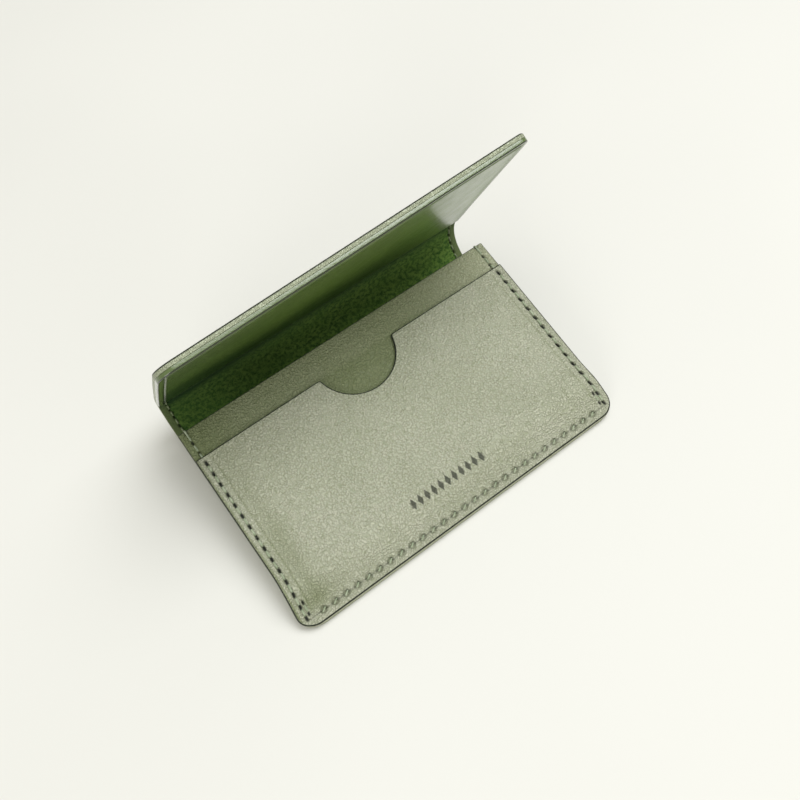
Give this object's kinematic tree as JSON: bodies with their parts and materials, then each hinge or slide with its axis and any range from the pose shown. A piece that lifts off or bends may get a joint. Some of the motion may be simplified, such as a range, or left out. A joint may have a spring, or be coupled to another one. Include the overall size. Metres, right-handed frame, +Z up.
{
  "type": "card holder",
  "caption": "Leather card holder with a folding flap on a curved spine, a pocket block with a round thumb notch, and folded side gussets.",
  "frame": {"origin": "centre of the bounding box's bottom face, on the surface the back lies on", "axes": "+X along the width, +Y from the bottom edge towards the spine, +Z up from the back to the flap's tip"},
  "size_m": [0.11, 0.081, 0.0717],
  "materials": {
    "outer_leather": "fine pebble grain, soft satin, burnished dark edges",
    "flap_lining": "smooth, satin",
    "suede": "matt mottled suede",
    "gusset_leather": "thin, smooth, matt",
    "thread": "twisted waxed thread"
  },
  "bodies": {
    "root": {"back_leather": "outer_leather", "back_lining": "suede", "back_thread": "thread"},
    "spine": {"spine_leather": "outer_leather", "spine_lining": "suede", "spine_thread": "thread"},
    "flap": {"flap_leather": "outer_leather", "fold_lining": "suede", "flap_lining": "flap_lining", "fold_thread": "thread"},
    "pockets": {"rear_pocket": "outer_leather", "front_pocket": "outer_leather", "pocket_side_thread": "thread", "bottom_thread": "thread"},
    "left_back_leaf": {"left_gusset_back": "gusset_leather"},
    "left_front_leaf": {"left_gusset_front": "gusset_leather"},
    "right_back_leaf": {"right_gusset_back": "gusset_leather"},
    "right_front_leaf": {"right_gusset_front": "gusset_leather"}
  },
  "joints": [
    {"name": "spine_fold", "type": "hinge", "parent": "root", "child": "spine", "pos_m": [0, 0.03407, 0.00479], "axis": [1, 0, 0], "range_deg": [-57, 31]},
    {"name": "flap_fold", "type": "hinge", "parent": "spine", "child": "flap", "pos_m": [0, 0.03807, 0.01139], "axis": [1, 0, 0], "range_deg": [-57, 31]},
    {"name": "pocket_open", "type": "hinge", "parent": "root", "child": "pockets", "pos_m": [0, -0.0371, 0.00295], "axis": [1, 0, 0], "range_deg": [-5.3, 9.7]},
    {"name": "left_back_fold", "type": "hinge", "parent": "root", "child": "left_back_leaf", "pos_m": [-0.0516, -0.0371, 0.00295], "axis": [0, -1, 0], "range_deg": [-13.8, 25.3]},
    {"name": "left_front_fold", "type": "hinge", "parent": "pockets", "child": "left_front_leaf", "pos_m": [-0.0516, -0.0371, 0.00295], "axis": [0, 0.9732, 0.23], "range_deg": [-13.8, 25.3]},
    {"name": "right_back_fold", "type": "hinge", "parent": "root", "child": "right_back_leaf", "pos_m": [0.0516, -0.0371, 0.00295], "axis": [0, 1, 0], "range_deg": [-13.8, 25.3]},
    {"name": "right_front_fold", "type": "hinge", "parent": "pockets", "child": "right_front_leaf", "pos_m": [0.0516, -0.0371, 0.00295], "axis": [0, -0.9732, -0.23], "range_deg": [-13.8, 25.3]}
  ],
  "couplings": [
    {"joint": "flap_fold", "follows": "spine_fold", "ratio": 1},
    {"joint": "pocket_open", "follows": "spine_fold", "ratio": -0.17},
    {"joint": "left_back_fold", "follows": "spine_fold", "ratio": -0.442},
    {"joint": "left_front_fold", "follows": "spine_fold", "ratio": -0.442},
    {"joint": "right_back_fold", "follows": "spine_fold", "ratio": -0.442},
    {"joint": "right_front_fold", "follows": "spine_fold", "ratio": -0.442}
  ]
}
